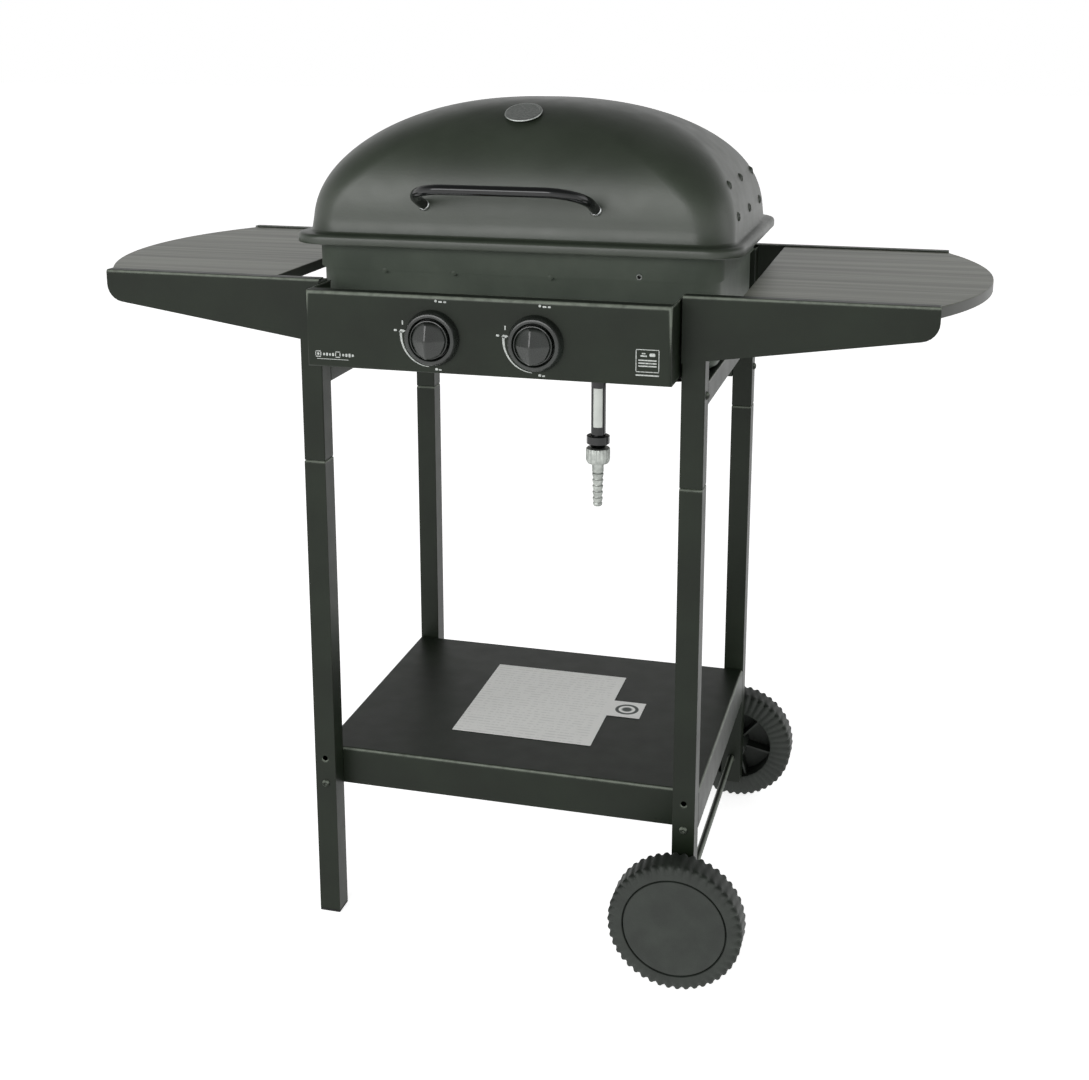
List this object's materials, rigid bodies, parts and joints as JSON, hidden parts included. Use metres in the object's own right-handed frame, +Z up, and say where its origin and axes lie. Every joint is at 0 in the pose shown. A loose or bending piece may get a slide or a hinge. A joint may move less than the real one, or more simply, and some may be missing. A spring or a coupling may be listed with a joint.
{
  "type": "gas barbecue grill",
  "caption": "Gas barbecue grill on a square-tube cart with a hinged domed lid, a control panel with knobs, fixed side tables, a lower shelf and wheels on one side.",
  "frame": {"origin": "on the floor, under the middle of the whole object's bounding box, lid closed", "axes": "+Z up, +X to the right seen from the front, where the wheels are, and the knobs face -Y"},
  "size_m": [1.016, 0.52, 0.9552],
  "materials": {
    "frame_paint": "satin dark grey powder coat on steel",
    "lid_paint": "satin heat-proof grey-black paint on pressed steel",
    "black_gloss": "gloss black",
    "board_face": "fibreboard with a dark wood-grain film",
    "knob_plastic": "moulded black heat-proof plastic",
    "wheel_plastic": "moulded grey-black plastic",
    "foot_plastic": "moulded black plastic",
    "zinc": "zinc-plated steel",
    "brass": "turned brass",
    "bare_steel": "bare steel",
    "grate_enamel": "black vitreous enamel",
    "label_paper": "printed paper leaflet",
    "badge_metal": "satin metal plate"
  },
  "bodies": {
    "cart": {"axle": "frame_paint", "bezel_left": "knob_plastic", "bezel_right": "knob_plastic", "burner_left": "bare_steel", "burner_right": "bare_steel", "control_panel": "frame_paint", "cooking_grate_left": "grate_enamel", "cooking_grate_right": "grate_enamel", "firebox": "lid_paint", "foot_front_left": "foot_plastic", "foot_rear_left": "foot_plastic", "heat_plate": "bare_steel", "hinge_base_left": "frame_paint", "hinge_base_right": "frame_paint", "hinge_pin_left": "zinc", "hinge_pin_right": "zinc", "hose_tail": "zinc", "inlet_fitting": "black_gloss", "leg_lower_front_left": "frame_paint", "leg_lower_front_right": "frame_paint", "leg_lower_rear_left": "frame_paint", "leg_lower_rear_right": "frame_paint", "leg_upper_front_left": "frame_paint", "leg_upper_front_right": "frame_paint", "leg_upper_rear_left": "frame_paint", "leg_upper_rear_right": "frame_paint", "lower_shelf": "frame_paint", "manifold_pipe": "black_gloss", "rear_cross_rail": "frame_paint", "shelf_label": "label_paper", "side_rail_left": "frame_paint", "side_rail_right": "frame_paint", "table_board_left": "board_face", "table_board_right": "board_face", "table_bracket_front_left": "frame_paint", "table_bracket_front_right": "frame_paint", "table_bracket_rear_left": "frame_paint", "table_bracket_rear_right": "frame_paint", "tray_runner_left": "frame_paint", "tray_runner_right": "frame_paint", "union_nut": "zinc", "valve_left": "brass", "valve_right": "brass"},
    "lid": {"lid": "lid_paint", "lid_handle": "black_gloss", "lid_badge": "badge_metal", "hinge_ear_left": "frame_paint", "hinge_ear_right": "frame_paint"},
    "push_left": {"spring_cup_left": "zinc"},
    "turn_left": {"knob_left": "knob_plastic", "valve_stem_left": "bare_steel"},
    "push_right": {"spring_cup_right": "zinc"},
    "turn_right": {"knob_right": "knob_plastic", "valve_stem_right": "bare_steel"},
    "wheel_front": {"wheel_front": "wheel_plastic", "wheel_cap_front": "wheel_plastic"},
    "wheel_rear": {"wheel_rear": "wheel_plastic", "wheel_cap_rear": "wheel_plastic"},
    "drip_tray": {"drip_tray": "bare_steel"}
  },
  "joints": [
    {"name": "lid_hinge", "type": "hinge", "parent": "cart", "child": "lid", "pos_m": [0, 0.18695, 0.818], "axis": [-1, 0, 0], "range_deg": [0, 95]},
    {"name": "knob_push_left", "type": "slide", "parent": "cart", "child": "push_left", "axis": [0, 1, 0], "range_m": [0, 0.003], "stiffness_N_per_m": 900},
    {"name": "knob_turn_left", "type": "hinge", "parent": "push_left", "child": "turn_left", "pos_m": [-0.056, -0.23365, 0.719], "axis": [0, -1, 0], "range_deg": [0, 180]},
    {"name": "knob_push_right", "type": "slide", "parent": "cart", "child": "push_right", "axis": [0, 1, 0], "range_m": [0, 0.003], "stiffness_N_per_m": 900},
    {"name": "knob_turn_right", "type": "hinge", "parent": "push_right", "child": "turn_right", "pos_m": [0.056, -0.23365, 0.719], "axis": [0, -1, 0], "range_deg": [0, 180]},
    {"name": "wheel_front_spin", "type": "hinge", "parent": "cart", "child": "wheel_front", "pos_m": [0.2125, -0.21905, 0.075], "axis": [0, 1, 0], "continuous": true},
    {"name": "wheel_rear_spin", "type": "hinge", "parent": "cart", "child": "wheel_rear", "pos_m": [0.2125, 0.24095, 0.075], "axis": [0, 1, 0], "continuous": true},
    {"name": "tray_slide", "type": "slide", "parent": "cart", "child": "drip_tray", "axis": [0, 1, 0], "range_m": [0, 0.24]}
  ]
}
